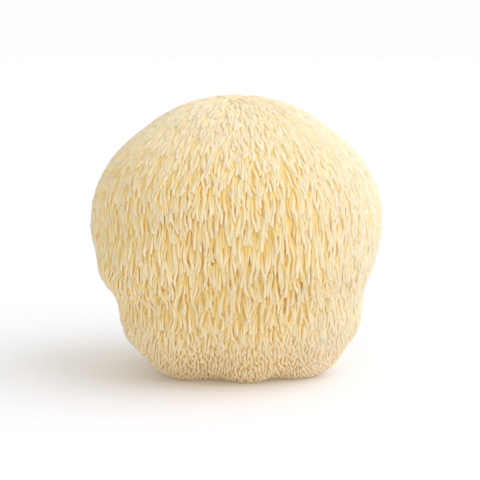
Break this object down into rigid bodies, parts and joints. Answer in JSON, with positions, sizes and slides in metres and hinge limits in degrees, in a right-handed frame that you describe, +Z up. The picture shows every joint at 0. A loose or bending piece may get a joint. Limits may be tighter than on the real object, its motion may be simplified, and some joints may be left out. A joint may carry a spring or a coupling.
{
  "type": "lions mane mushroom",
  "caption": "Whole fresh lion's mane mushroom: a rounded cream fruiting body covered in soft hanging spines, cut flat underneath so that it stands.",
  "frame": {"origin": "middle of the flat cut face that the mushroom stands on", "axes": "+Z up through the crown, -Y towards the front, +X to the right seen from the front"},
  "size_m": [0.109, 0.102, 0.1042],
  "materials": {
    "mushroom_flesh": "soft, moist and matte, cream at the spine tips and ochre between the spines"
  },
  "bodies": {
    "root": {"fruiting_body": "mushroom_flesh"}
  },
  "joints": []
}
